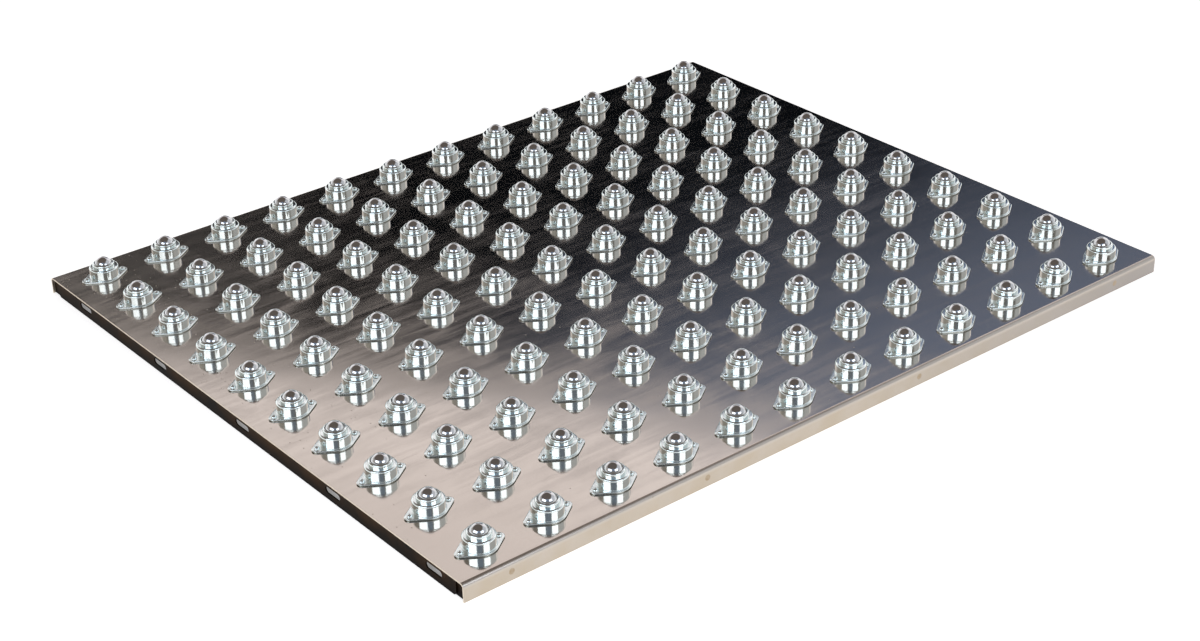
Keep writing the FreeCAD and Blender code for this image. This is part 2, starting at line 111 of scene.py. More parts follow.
class PlatformSizes(bpy.types.PropertyGroup):
    """Sizes of the pieces that are modelled here."""

    sheet_gauge: length("Sheet gauge", "Thickness of the folded deck sheet", 2.0 * MM)
    bend_radius: length("Bend radius", "Outer radius of the deck's long bends", 6.0 * MM)
    weld_radius: length("Weld radius", "Radius of a spot weld's mark", 4.2 * MM)
    weld_rise: length("Weld rise", "Height of the ring round a spot weld", 0.15 * MM)
    flange_radius: length("Flange radius", "Radius of the flange's round middle", 23.0 * MM)
    ear_radius: length("Ear radius", "Radius of the flange's two ears", 7.0 * MM)
    flange_gauge: length("Flange gauge", "Thickness of the housing's flange", 1.3 * MM)
    flange_edge: length("Flange edge", "Rounding of the flange's upper edge", 0.9 * MM)
    plate_set_back: length(
        "Plate set-back", "How far a base plate's edge stands behind the flange's", 1.5 * MM)
    body_radius: length("Body radius", "Outer radius of the housing's wall", 20.7 * MM)
    body_wall: length("Body wall", "Thickness of the housing's wall", 1.9 * MM)
    shoulder_gauge: length("Shoulder gauge", "Thickness of the housing's shoulder", 1.2 * MM)
    shoulder_round: length("Shoulder rounding", "Rounding of the housing's shoulder", 2.5 * MM)
    shoulder_bore: length("Shoulder bore", "Radius of the hole in the housing's shoulder", 14.2 * MM)
    edge_break: length("Edge break", "Rounding of the small pressed edges", 0.3 * MM)
    root_round: length("Root rounding", "Rounding where the wall meets the flange", 0.7 * MM)
    skirt_outer: length("Skirt outer radius", "Outer radius of the retainer's skirt", 14.1 * MM)
    skirt_inner: length("Skirt inner radius", "Inner radius of the retainer's skirt", 13.4 * MM)
    retainer_top: length("Retainer top", "Height of the retainer's lip above the deck", 23.0 * MM)
    lip_radius: length("Lip radius", "Radius of the retainer's opening", 12.55 * MM)
    lip_depth: length("Lip depth", "Height of the retainer's lip", 0.8 * MM)
    lip_round: length("Lip rounding", "Rounding of the lip's upper edge", 0.35 * MM)
    cone_rise: length("Cone rise", "Height of the cone inside the retainer", 3.6 * MM)
    dome_round: length("Dome rounding", "Rounding of the retainer's dome", 2.5 * MM)
    rivet_head: length("Rivet head radius", "Radius of a rivet's head", 4.0 * MM)
    rivet_rise: length("Rivet rise", "Height of a rivet's head above the flange", 2.8 * MM)
    rivet_shank: length("Rivet shank radius", "Radius of a rivet's shank", 2.0 * MM)
    rivet_bulb: length("Rivet bulb radius", "Radius of the bulb under the deck", 3.1 * MM)
    rivet_eye: length("Rivet eye radius", "Radius of the hollow in a rivet's head", 1.2 * MM)
    small_ball: length("Support ball radius", "Radius of a support ball", 1.5875 * MM)


class PlatformFinishes(bpy.types.PropertyGroup):
    """Colours of the finishes."""

    sheet: colour("Sheet", "Satin stainless sheet", "#C9C0B7")
    sheet_smudge: colour("Smudge", "Wiped and handled patches of the sheet", "#C0B7AD")
    dust: colour("Dust", "Dust that lies on the sheet", "#A89A88")
    stain: colour("Stain", "Handling stains on the turned-down sides", "#BEB19F")
    # The turned-down sides grow greyer towards the right end.
    soil: colour("Soil", "Grey soil towards the right end of the turned-down sides", "#A39D99")
    # The cut edge's pale cream is partly a painted highlight along the sheet's ends.
    cut_edge_and_highlight: colour("Cut edge", "Sheared edge of the sheet", "#E6D8C4")
    # The end panels' near-black is painted shade, and their brown patches lighten it.
    end_panel_shade: colour("Mill steel", "Dark rolled steel of the end panels", "#0B0806")
    panel_patches: colour("Rust", "Rust bloom on the rolled steel", "#543C27")
    weld: colour("Weld", "Heat tint of the spot welds", "#9C8567")
    zinc: colour("Zinc", "Bright zinc plate", "#EEF2EF")
    zinc_tint: colour("Zinc tint", "Faint blue of the plating's passivation", "#DEE8E8")
    ball: colour("Ball", "Polished bearing steel", "#D9D9DA")
    hardened: colour("Hardened steel", "Oiled hardened steel", "#6B6764")
    floor: colour("Floor", "Plain pale floor", "#F5F3F0")


class PlatformStudio(bpy.types.PropertyGroup):
    """Camera and light."""

    camera_place: bpy.props.FloatVectorProperty(
        name="Camera place", description="Where the camera stands", default=(-1.7494, -2.1845, 1.4646),
        size=3, subtype="TRANSLATION", unit="LENGTH")
    azimuth: bpy.props.FloatProperty(
        name="Azimuth", description="Camera's turn about the object", default=math.radians(-38.605),
        unit="ROTATION")
    elevation: bpy.props.FloatProperty(
        name="Elevation", description="Camera's height above the horizon", default=math.radians(28.619),
        unit="ROTATION")
    roll: bpy.props.FloatProperty(
        name="Roll", description="Camera's roll about its own view", default=math.radians(-1.415),
        unit="ROTATION")
    lens: bpy.props.FloatProperty(
        name="Lens", description="Focal length on a 36 mm wide frame", default=66.11, unit="CAMERA")
    room_strength: bpy.props.FloatProperty(
        name="Room brightness", description="Brightness of the room's walls", default=1.6)
    room_back: colour("Back of the room", "Pale wall above the dark one", "#D2CDCE")
    room_rim: colour("Rim of the room", "Bright foot of the pale back wall", "#E5E1E3")
    room_sides: colour("Sides of the room", "Walls at the left and right", "#9A9794")
    room_right: colour("Right of the room", "Wall at the right", "#B0B3B8")
    room_front: colour("Front of the room", "Wall behind the camera", "#6B6967")
    room_foot: colour("Foot of the room", "Lowest part of the pale walls", "#DBDDDE")
    room_ceiling: colour("Ceiling", "What is overhead", "#58514C")
    room_gap: colour("Gap", "Dark gap between the softboxes", "#6C798A")
    room_dark: colour("Dark wall", "Foot of the dark back wall", "#05070A")
    room_blue: colour("Blue wall", "Right end of the dark back wall", "#202A38")
    room_dusk: colour("Dusky wall", "Top of the dark back wall", "#646F85")
    floor_span: length("Floor span", "Width of the floor", 24.0)
    floor_glow: bpy.props.FloatProperty(
        name="Floor glow", description="Part of the floor's white that doesn't depend on the lamps",
        default=0.72)
    box_strength: bpy.props.FloatProperty(
        name="Softbox brightness", description="Brightness of the two softboxes, where 1 is white",
        default=2.9)
    box_tint: colour("Softbox tint", "Daylight tubes behind the softboxes' cloth", "#E6F1FF")


# Shared steps

def add_node(tree, kind, inputs=None, **settings):
    """Add a node, set its properties, and link or set each of its inputs."""
    node = tree.nodes.new(kind)
    for name, value in settings.items():
        setattr(node, name, value)
    for socket, value in (inputs or {}).items():
        if isinstance(value, bpy.types.NodeSocket):
            tree.links.new(value, node.inputs[socket])
        else:
            node.inputs[socket].default_value = value
    return node


def new_finish(name):
    """An empty material with its shader and its object coordinates."""
    material = bpy.data.materials.new(name)
    material.use_nodes = True
    tree = material.node_tree
    tree.nodes.clear()
    place = add_node(tree, "ShaderNodeTexCoord").outputs["Object"]
    return material, tree, place


def close_finish(tree, shader):
    """Join a shader to the material's output."""
    add_node(tree, "ShaderNodeOutputMaterial", {"Surface": shader.outputs[0]})


def rgba(values):
    """An opaque colour for a socket."""
    return (*values, 1.0)


def per_metre(millimetres):
    """Texture scale whose features are about this size."""
    return 1.0 / (millimetres * MM)


def finishes():
    return bpy.context.scene.platform_finishes


def sizes():
    return bpy.context.scene.platform_sizes


# Finishes. A roughness range runs from the cleanest patch to the dullest.

SHEET_ROUGHNESS = (0.08, 0.15)
SCRATCH_ROUGHER = 0.06
DUST_ROUGHER = 0.5
BEND_ROUGHER = 0.2
EDGE_OF_SHEET_ROUGHNESS = (0.35, 0.6)
WELD_ROUGHNESS = 0.35
MILL_ROUGHNESS = (0.45, 0.65)
MILL_GLOSS = 0.04
ZINC_ROUGHNESS = (0.10, 0.17)
RIVET_ROUGHNESS = (0.10, 0.18)
FLANGE_ROUGHER = 0.03
EDGE_ROUGHER = 0.12
BALL_ROUGHNESS = (0.05, 0.12)
CUP_ROUGHNESS = (0.22, 0.4)
TRACK_SHADE = 0.8


def lay_dust(tree, place):
    """Where specks of dust lie on the sheet, and how far specks and a thin film of dust cover it."""
    # It lies thickest at the back left corner and along the left end, as specks up to two millimetres across.
    corner = Vector((DECK_LOW.x, DECK_HIGH.y, DECK_HIGH.z))
    from_corner = add_node(tree, "ShaderNodeVectorMath", {0: place, 1: corner}, operation="DISTANCE")
    off_corner = add_node(tree, "ShaderNodeVectorMath", {0: place, 1: corner}, operation="SUBTRACT")
    squeezed = add_node(tree, "ShaderNodeVectorMath", {
        0: off_corner.outputs[0], 1: (1.0, 0.2, 1.0)}, operation="MULTIPLY")
    from_end = add_node(tree, "ShaderNodeVectorMath", {0: squeezed.outputs[0]}, operation="LENGTH")
    dusty = add_node(tree, "ShaderNodeMapRange", {
        "Value": from_end.outputs["Value"], "From Min": 0.02, "From Max": 0.20, "To Min": 0.4,
        "To Max": 0.01})
    cells = add_node(tree, "ShaderNodeTexVoronoi", {
        "Vector": place, "Scale": per_metre(6), "Randomness": 1.0})
    speck = add_node(tree, "ShaderNodeMath", {
        0: cells.outputs["Distance"], 1: 0.15}, operation="LESS_THAN")
    chance = add_node(tree, "ShaderNodeSeparateColor", {"Color": cells.outputs["Color"]})
    chosen = add_node(tree, "ShaderNodeMath", {
        0: chance.outputs[0], 1: dusty.outputs[0]}, operation="LESS_THAN")
    dust = add_node(tree, "ShaderNodeMath", {
        0: speck.outputs[0], 1: chosen.outputs[0]}, operation="MULTIPLY")
    # A thin film of the same dust dulls that corner.
    film = add_node(tree, "ShaderNodeMapRange", {
        "Value": from_corner.outputs["Value"], "From Min": 0.05, "From Max": 0.5, "To Min": 0.2,
        "To Max": 0.0}, interpolation_type="SMOOTHSTEP")
    covered = add_node(tree, "ShaderNodeMath", {
        0: dust.outputs[0], 1: film.outputs[0]}, operation="MAXIMUM")
    return dust.outputs[0], covered.outputs[0]


def stain_sides(tree, place, depth, steel):
    """Colour of the sheet, with stains on its turned-down sides, which also grow greyer towards the right
    end.
    """
    paint = finishes()
    on_side = add_node(tree, "ShaderNodeMapRange", {
        "Value": depth.outputs["Z"], "From Min": DECK_HIGH.z - 4 * MM, "From Max": DECK_HIGH.z - 8 * MM})
    # The sides are handled most, and carry warm stains a few centimetres across.
    stain_noise = add_node(tree, "ShaderNodeTexNoise", {
        "Vector": place, "Scale": per_metre(35), "Detail": 6.0, "Roughness": 0.6})
    stain_level = add_node(tree, "ShaderNodeMapRange", {
        "Value": stain_noise.outputs["Fac"], "From Min": 0.3, "From Max": 0.65, "To Min": 0.4, "To Max": 1.0})
    stained = add_node(tree, "ShaderNodeMath", {
        0: on_side.outputs[0], 1: stain_level.outputs[0]}, operation="MULTIPLY")
    warm = add_node(tree, "ShaderNodeMix", {
        "Factor": stained.outputs[0], "A": steel, "B": rgba(paint.stain)}, data_type="RGBA")
    # The turned-down sides grow greyer towards the right end.
    to_right = add_node(tree, "ShaderNodeMapRange", {
        "Value": depth.outputs["X"], "From Min": 0.0, "From Max": DECK_HIGH.x, "To Max": 0.9})
    tinged = add_node(tree, "ShaderNodeMath", {
        0: on_side.outputs[0], 1: to_right.outputs[0]}, operation="MULTIPLY")
    tone = add_node(tree, "ShaderNodeMix", {
        "Factor": tinged.outputs[0], "A": warm.outputs["Result"], "B": rgba(paint.soil)}, data_type="RGBA")
    return tone.outputs["Result"]


def bend_mirror(tree, place, depth):
    """Direction of the sheet's surface, which bends what it mirrors."""
    # The sheet is a little out of flat between the units.
    waves = add_node(tree, "ShaderNodeTexNoise", {"Vector": place, "Scale": per_metre(210), "Detail": 1.0})
    out_of_flat = add_node(tree, "ShaderNodeBump", {
        "Height": waves.outputs["Fac"], "Strength": 1.0, "Distance": 0.3 * MM})
    # Shearing drew the left end down a little over its last 100 mm.
    near_end = add_node(tree, "ShaderNodeMapRange", {
        "Value": depth.outputs["X"], "From Min": DECK_LOW.x + 100 * MM, "From Max": DECK_LOW.x})
    drawn_down = add_node(tree, "ShaderNodeMath", {0: near_end.outputs[0], 1: 2.0}, operation="POWER")
    end_drop = add_node(tree, "ShaderNodeBump", {
        "Height": drawn_down.outputs[0], "Strength": 1.0, "Distance": 0.25 * MM,
        "Normal": out_of_flat.outputs[0]}, invert=True)
    return end_drop.outputs[0]


def satin_stainless():
    """Cold-rolled stainless sheet: a soft mirror with wiped patches, scratches, dust and handled sides."""
    paint = finishes()
    material, tree, place = new_finish("satin_stainless_sheet")
    depth = add_node(tree, "ShaderNodeSeparateXYZ", {"Vector": place})
    patches = add_node(tree, "ShaderNodeTexNoise", {
        "Vector": place, "Scale": per_metre(140), "Detail": 5.0, "Roughness": 0.62, "Distortion": 0.8})
    # Wiping left long faint arcs across the sheet, at a slant to its sides.
    slant = add_node(tree, "ShaderNodeMapping", {
        "Vector": place, "Rotation": (0, 0, math.radians(34)), "Scale": (per_metre(260), per_metre(22), 1.0)})
    wipes = add_node(tree, "ShaderNodeTexNoise", {
        "Vector": slant.outputs[0], "Scale": 1.0, "Detail": 4.0, "Distortion": 1.4})
    smudge = add_node(tree, "ShaderNodeMath", {
        0: patches.outputs["Fac"], 1: wipes.outputs["Fac"]}, operation="MULTIPLY")
    gloss = add_node(tree, "ShaderNodeMapRange", {
        "Value": smudge.outputs[0], "From Min": 0.16, "From Max": 0.42,
        "To Min": SHEET_ROUGHNESS[0], "To Max": SHEET_ROUGHNESS[1]})
    scratch_marks = add_node(tree, "ShaderNodeMapping", {
        "Vector": place, "Rotation": (0, 0, math.radians(-52)),
        "Scale": (per_metre(60), per_metre(1.2), 1.0)})
    scratch_noise = add_node(tree, "ShaderNodeTexNoise", {
        "Vector": scratch_marks.outputs[0], "Scale": 1.0, "Detail": 0.0})
    scratches = add_node(tree, "ShaderNodeMapRange", {
        "Value": scratch_noise.outputs["Fac"], "From Min": 0.76, "From Max": 0.84})
    worn = add_node(tree, "ShaderNodeMath", {
        0: scratches.outputs[0], 1: SCRATCH_ROUGHER, 2: gloss.outputs[0]}, operation="MULTIPLY_ADD")

    # Fine mottling of the rolled surface, drawn 5 mm wide so that it shows.
    mottle = add_node(tree, "ShaderNodeTexNoise", {
        "Vector": place, "Scale": per_metre(5), "Detail": 3.0, "Roughness": 0.7})
    clouding = add_node(tree, "ShaderNodeMath", {
        0: patches.outputs["Fac"], 1: 0.6, 2: -0.3}, operation="MULTIPLY_ADD")
    mottled = add_node(tree, "ShaderNodeMath", {
        0: mottle.outputs["Fac"], 1: 0.8, 2: clouding.outputs[0]}, operation="MULTIPLY_ADD", use_clamp=True)
    steel = add_node(tree, "ShaderNodeMix", {
        "Factor": mottled.outputs[0], "A": rgba(paint.sheet), "B": rgba(paint.sheet_smudge)},
        data_type="RGBA")
    side_tone = stain_sides(tree, place, depth, steel.outputs["Result"])
    dust, covered = lay_dust(tree, place)
    tone = add_node(tree, "ShaderNodeMix", {
        "Factor": covered, "A": side_tone, "B": rgba(paint.dust)}, data_type="RGBA")
    dusted = add_node(tree, "ShaderNodeMath", {
        0: dust, 1: DUST_ROUGHER, 2: worn.outputs[0]}, operation="MULTIPLY_ADD")
    # Folding dulled the bends and the turned-down sides.
    on_bend = add_node(tree, "ShaderNodeMapRange", {
        "Value": depth.outputs["Z"], "From Min": DECK_HIGH.z - 0.01 * MM, "From Max": DECK_HIGH.z - 0.3 * MM,
        "To Max": BEND_ROUGHER})
    rough = add_node(tree, "ShaderNodeMath", {0: dusted.outputs[0], 1: on_bend.outputs[0]}, operation="ADD")
    bare = add_node(tree, "ShaderNodeMath", {0: 1.0, 1: covered}, operation="SUBTRACT")
    mirror = add_node(tree, "ShaderNodeBsdfPrincipled", {
        "Base Color": tone.outputs["Result"], "Metallic": bare.outputs[0], "Roughness": rough.outputs[0],
        "Normal": bend_mirror(tree, place, depth)})
    close_finish(tree, mirror)
    return material


def sheared_edge():
    """Cut edge of the sheet: torn metal in short upright lines, which scatters light. Its pale cream is
    partly the metal's own and partly a painted highlight.
    """
    material, tree, place = new_finish("sheared_sheet_edge")
    tear = add_node(tree, "ShaderNodeMapping", {
        "Vector": place, "Scale": (1.0, per_metre(0.9), per_metre(6))})
    lines = add_node(tree, "ShaderNodeTexNoise", {"Vector": tear.outputs[0], "Scale": 1.0, "Detail": 2.0})
    rough = add_node(tree, "ShaderNodeMapRange", {
        "Value": lines.outputs["Fac"], "To Min": EDGE_OF_SHEET_ROUGHNESS[0],
        "To Max": EDGE_OF_SHEET_ROUGHNESS[1]})
    bump = add_node(tree, "ShaderNodeBump", {
        "Height": lines.outputs["Fac"], "Strength": 0.4, "Distance": 0.1 * MM})
    shader = add_node(tree, "ShaderNodeBsdfPrincipled", {
        "Base Color": rgba(finishes().cut_edge_and_highlight), "Metallic": 0.6, "Roughness": rough.outputs[0],
        "Normal": bump.outputs[0]})
    close_finish(tree, shader)
    return material


def tinted_weld():
    """Stainless steel that a spot weld's heat turned straw brown, in a tint that fades unevenly."""
    paint = finishes()
    material, tree, place = new_finish("heat_tinted_weld")
    fade = add_node(tree, "ShaderNodeTexNoise", {"Vector": place, "Scale": per_metre(3), "Detail": 3.0})
    tone = add_node(tree, "ShaderNodeMix", {
        "Factor": fade.outputs["Fac"], "A": rgba(paint.weld), "B": rgba(paint.stain)}, data_type="RGBA")
    shader = add_node(tree, "ShaderNodeBsdfPrincipled", {
        "Base Color": tone.outputs["Result"], "Metallic": 1.0, "Roughness": WELD_ROUGHNESS})
    close_finish(tree, shader)
    return material


def shaded_panel_steel():
    """Oiled steel with cloudy patches and a dull gloss, painted brown-black as painted shade: the end panels
    stay dark as if they mirrored a dark room.
    """
    paint = finishes()
    material, tree, place = new_finish("oiled_mill_scale_steel")
    clouds = add_node(tree, "ShaderNodeTexNoise", {"Vector": place, "Scale": per_metre(45), "Detail": 6.0})
    depth = add_node(tree, "ShaderNodeSeparateXYZ", {"Vector": place})
    height = add_node(tree, "ShaderNodeMapRange", {
        "Value": depth.outputs["Z"], "From Min": DECK_LOW.z, "From Max": DECK_HIGH.z})
    # Brown patches lighten the painted shade, most of them towards the top, under the sheet's edge.
    patches = add_node(tree, "ShaderNodeMapRange", {
        "Value": clouds.outputs["Fac"], "From Min": 0.3, "From Max": 0.7})
    browning = add_node(tree, "ShaderNodeMath", {
        0: patches.outputs[0], 1: height.outputs[0]}, operation="MULTIPLY")
    tone = add_node(tree, "ShaderNodeMix", {
        "Factor": browning.outputs[0], "A": rgba(paint.end_panel_shade), "B": rgba(paint.panel_patches)}, data_type="RGBA")
    rough = add_node(tree, "ShaderNodeMapRange", {
        "Value": clouds.outputs["Fac"], "To Min": MILL_ROUGHNESS[0], "To Max": MILL_ROUGHNESS[1]})
    pits = add_node(tree, "ShaderNodeTexNoise", {"Vector": place, "Scale": per_metre(2.5), "Detail": 3.0})
    bump = add_node(tree, "ShaderNodeBump", {
        "Height": pits.outputs["Fac"], "Strength": 0.3, "Distance": 0.08 * MM})
    shader = add_node(tree, "ShaderNodeBsdfPrincipled", {
        "Base Color": tone.outputs["Result"], "Metallic": 0.0, "Roughness": rough.outputs[0],
        "Specular IOR Level": MILL_GLOSS, "Normal": bump.outputs[0]})
    close_finish(tree, shader)
    return material


def bright_zinc(name, roughness):
    """Bright zinc plate on a pressing: a silvery mirror with a faint blue tint and soft press marks."""
    paint = finishes()
    material, tree, place = new_finish(name)
    clouds = add_node(tree, "ShaderNodeTexNoise", {"Vector": place, "Scale": per_metre(14), "Detail": 3.0})
    tone = add_node(tree, "ShaderNodeMix", {
        "Factor": clouds.outputs["Fac"], "A": rgba(paint.zinc), "B": rgba(paint.zinc_tint)}, data_type="RGBA")
    rough = add_node(tree, "ShaderNodeMapRange", {
        "Value": clouds.outputs["Fac"], "From Min": 0.3, "From Max": 0.7,
        "To Min": roughness[0], "To Max": roughness[1]})
    # Drawing the walls polished them. The flange kept more of the coil's own roughness.
    depth = add_node(tree, "ShaderNodeSeparateXYZ", {"Vector": place})
    flange_top = DECK_HIGH.z + BASE_GAUGE + sizes().flange_gauge
    on_flange = add_node(tree, "ShaderNodeMapRange", {
        "Value": depth.outputs["Z"], "From Min": flange_top + 1.2 * MM, "From Max": flange_top + 0.3 * MM,
        "To Max": FLANGE_ROUGHER})
    coarse = add_node(tree, "ShaderNodeMath", {
        0: rough.outputs[0], 1: on_flange.outputs[0]}, operation="ADD")
    # Sheared edges of the flange and of the plate under it are dull.
    on_edge = add_node(tree, "ShaderNodeMapRange", {
        "Value": depth.outputs["Z"], "From Min": flange_top - 0.2 * MM, "From Max": flange_top - 0.6 * MM,
        "To Max": EDGE_ROUGHER})
    dull = add_node(tree, "ShaderNodeMath", {0: coarse.outputs[0], 1: on_edge.outputs[0]}, operation="ADD")
    # Press marks are drawn about 3 mm apart, which is as fine as they show.
    marks = add_node(tree, "ShaderNodeTexNoise", {"Vector": place, "Scale": per_metre(3), "Detail": 2.0})
    bump = add_node(tree, "ShaderNodeBump", {
        "Height": marks.outputs["Fac"], "Strength": 0.5, "Distance": 0.06 * MM})
    shader = add_node(tree, "ShaderNodeBsdfPrincipled", {
        "Base Color": tone.outputs["Result"], "Metallic": 1.0, "Roughness": dull.outputs[0],
        "Normal": bump.outputs[0]})
    close_finish(tree, shader)
    return material


def zinc_finish():
    """The zinc plate of the pressings, made once."""
    name = "bright_zinc_plate"
    return bpy.data.materials.get(name) or bright_zinc(name, ZINC_ROUGHNESS)


def polished_steel(name, base, roughness):
    """Ground and polished bearing steel: a dark mirror with a few dull rolling tracks."""
    material, tree, place = new_finish(name)
    tracks = add_node(tree, "ShaderNodeTexNoise", {
        "Vector": place, "Scale": per_metre(9), "Detail": 4.0, "Distortion": 2.0})
    rough = add_node(tree, "ShaderNodeMapRange", {
        "Value": tracks.outputs["Fac"], "From Min": 0.35, "From Max": 0.75,
        "To Min": roughness[0], "To Max": roughness[1]})
    darker = tuple(TRACK_SHADE * c for c in base)
    tone = add_node(tree, "ShaderNodeMix", {
        "Factor": tracks.outputs["Fac"], "A": rgba(base), "B": rgba(darker)}, data_type="RGBA")
    shader = add_node(tree, "ShaderNodeBsdfPrincipled", {
        "Base Color": tone.outputs["Result"], "Metallic": 1.0, "Roughness": rough.outputs[0]})
    close_finish(tree, shader)
    return material


# Mesh steps

SHARP_ANGLE = math.radians(38)
MERGE_DISTANCE = 0.001 * MM
MIDDLE_POINTS = 40
EAR_POINTS = 20


def add_line(bm, corners):
    """A line in the XZ plane through corners of (distance out, height, rounding)."""
    verts = [bm.verts.new((out, 0, height)) for out, height, _ in corners]
    for pair in zip(verts, verts[1:]):
        bm.edges.new(pair)
    round_corners(bm, zip(verts, (rounding for _, _, rounding in corners)))


def round_corners(bm, corners, segments=5):
    """Turn each corner of a line that has a rounding into an arc."""
    for vert, rounding in corners:
        if rounding:
            bmesh.ops.bevel(bm, geom=[vert], offset=rounding, offset_type="OFFSET", segments=segments,
                            profile=0.5, affect="VERTICES", material=-1)


def turn(bm, steps):
    """Spin everything in the mesh a full turn about the upright axis."""
    bmesh.ops.spin(bm, geom=bm.verts[:] + bm.edges[:], cent=(0, 0, 0), axis=(0, 0, 1), dvec=(0, 0, 0),
                   angle=2 * math.pi, steps=steps, use_merge=True, use_duplicate=False)
    bmesh.ops.remove_doubles(bm, verts=bm.verts[:], dist=MERGE_DISTANCE)


def copy_to(bm, places):
    """Copy everything in the mesh to each place, and drop the pattern itself."""
    pattern_verts = bm.verts[:]
    pattern = pattern_verts + bm.edges[:] + bm.faces[:]
    for place in places:
        made = bmesh.ops.duplicate(bm, geom=pattern)["geom"]
        bmesh.ops.translate(bm, vec=place, verts=[v for v in made if isinstance(v, bmesh.types.BMVert)])
    bmesh.ops.delete(bm, geom=pattern_verts, context="VERTS")


def finish_piece(bm, name, body, materials, replaced=()):
    """Turn a mesh into a piece that rides on a body and stands for the replaced nodes."""
    mesh = bpy.data.meshes.new(name)
    bm.to_mesh(mesh)
    bm.free()
    for material in materials:
        mesh.materials.append(material)
    mesh.shade_smooth()
    mesh.set_sharp_from_angle(angle=SHARP_ANGLE)
    piece = bpy.data.objects.new(name, mesh)
    # Large faces keep their own direction, so that walls and flanges mirror straight.
    piece.modifiers.new("straight_faces", "WEIGHTED_NORMAL").keep_sharp = True
    bpy.context.scene.collection.objects.link(piece)
    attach(piece, body)
    if replaced:
        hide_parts(*replaced)
    return piece


def dress_node(node, material):
    """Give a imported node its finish."""
    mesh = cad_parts[node].data
    mesh.materials.clear()
    mesh.materials.append(material)


def unit_places(row):
    """Where the units of a row stand on the sheet."""
    return [Vector((x, ROW_Y[row], DECK_HIGH.z)) for x in COLUMN_X]


def draw_flange(bm, height, set_back=0.0):
    """Edges of a flange's outline: the hull of a round middle and two round ears."""
    size = sizes()
    ear_x = FLANGE_REACH - size.ear_radius
    points = []
    rounds = (
        (0, size.flange_radius, MIDDLE_POINTS),
        (ear_x, size.ear_radius, EAR_POINTS),
        (-ear_x, size.ear_radius, EAR_POINTS),
    )
    for centre, radius, count in rounds:
        for k in range(count):
            angle = 2 * math.pi * k / count
            spoke = Vector((math.cos(angle), math.sin(angle)))
            points.append(Vector((centre, 0)) + (radius - set_back) * spoke)
    verts = [bm.verts.new((*points[k], height)) for k in convex_hull_2d(points)]
    return [bm.edges.new(pair) for pair in zip(verts, verts[1:] + verts[:1])]


# Operators, one for each piece or group of like pieces

class PLATFORM_OT_deck(bpy.types.Operator):
    """Fold the deck sheet and mark its spot welds"""

    bl_idname = "platform.deck"
    bl_label = "Deck sheet"
    bend_segments = 10
    weld_steps = 20

    def execute(self, context):
        self.fold_sheet(satin_stainless(), sheared_edge())
        self.mark_welds(tinted_weld())
        return {"FINISHED"}

    def fold_sheet(self, steel, edge):
        """One sheet with both long sides turned down, and pale metal at its cut ends, partly a painted
        highlight.
        """
        size = sizes()
        bm = bmesh.new()
        section = [(DECK_LOW.y, DECK_LOW.z), (DECK_LOW.y, DECK_HIGH.z), (DECK_HIGH.y, DECK_HIGH.z),
                   (DECK_HIGH.y, DECK_LOW.z)]
        verts = [bm.verts.new((DECK_LOW.x, y, z)) for y, z in section]
        for pair in zip(verts, verts[1:]):
            bm.edges.new(pair)
        round_corners(bm, [(vert, size.bend_radius) for vert in verts[1:3]], segments=self.bend_segments)
        made = bmesh.ops.extrude_edge_only(bm, edges=bm.edges[:])["geom"]
        far_end = [v for v in made if isinstance(v, bmesh.types.BMVert)]
        bmesh.ops.translate(bm, vec=(DECK_HIGH.x - DECK_LOW.x, 0, 0), verts=far_end)
        bmesh.ops.recalc_face_normals(bm, faces=bm.faces[:])
        top = max(bm.faces, key=lambda face: face.calc_area())
        if top.normal.z < 0:
            bmesh.ops.reverse_faces(bm, faces=bm.faces[:])
        bmesh.ops.solidify(bm, geom=bm.faces[:], thickness=size.sheet_gauge)
        bmesh.ops.recalc_face_normals(bm, faces=bm.faces[:])
        for face in bm.faces:
            face.normal_update()
            faces_end = abs(face.normal.x) > abs(face.normal.y) + abs(face.normal.z)
            face.material_index = int(faces_end)
        finish_piece(bm, "folded_deck_sheet", DECK, [steel, edge], ["deck_sheet"])

    def mark_welds(self, tint):
        """Shallow rings on the long flanges where the parts behind them are spot welded."""
        size = sizes()
        middle = (DECK_LOW.z + DECK_HIGH.z) / 2
        quarter = math.pi / 2
        sides = (("front", DECK_LOW.y, quarter), ("back", DECK_HIGH.y, -quarter))
        for side, face_y, tip in sides:
            bm = bmesh.new()
            add_line(bm, [
                (size.weld_radius, 0, 0),
                (0.82 * size.weld_radius, size.weld_rise, 0.1 * size.weld_radius),
                (0.6 * size.weld_radius, 0.25 * size.weld_rise, 0.1 * size.weld_radius),
                (0, 0.1 * size.weld_rise, 0),
            ])
            turn(bm, self.weld_steps)
            bmesh.ops.holes_fill(bm, edges=[e for e in bm.edges if e.is_boundary])
            bmesh.ops.recalc_face_normals(bm, faces=bm.faces[:])
            outward = Quaternion((1, 0, 0), tip).to_matrix()
            bmesh.ops.rotate(bm, cent=(0, 0, 0), matrix=outward, verts=bm.verts[:])
            copy_to(bm, [Vector((x, face_y, middle)) for x in WELD_X])
            finish_piece(bm, f"{side}_spot_weld_marks", DECK, [tint])


class PLATFORM_OT_underframe(bpy.types.Operator):
    """Finish the end panels, corner gussets and cross ribs"""

    bl_idname = "platform.underframe"
    bl_label = "Underframe"

    def execute(self, context):
        # The end panels, gussets and ribs take the near-black painted shade.
        dark = shaded_panel_steel()
        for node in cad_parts:
            if node.startswith(("end_panel", "corner_gusset", "cross_rib")):
                dress_node(node, dark)
        return {"FINISHED"}


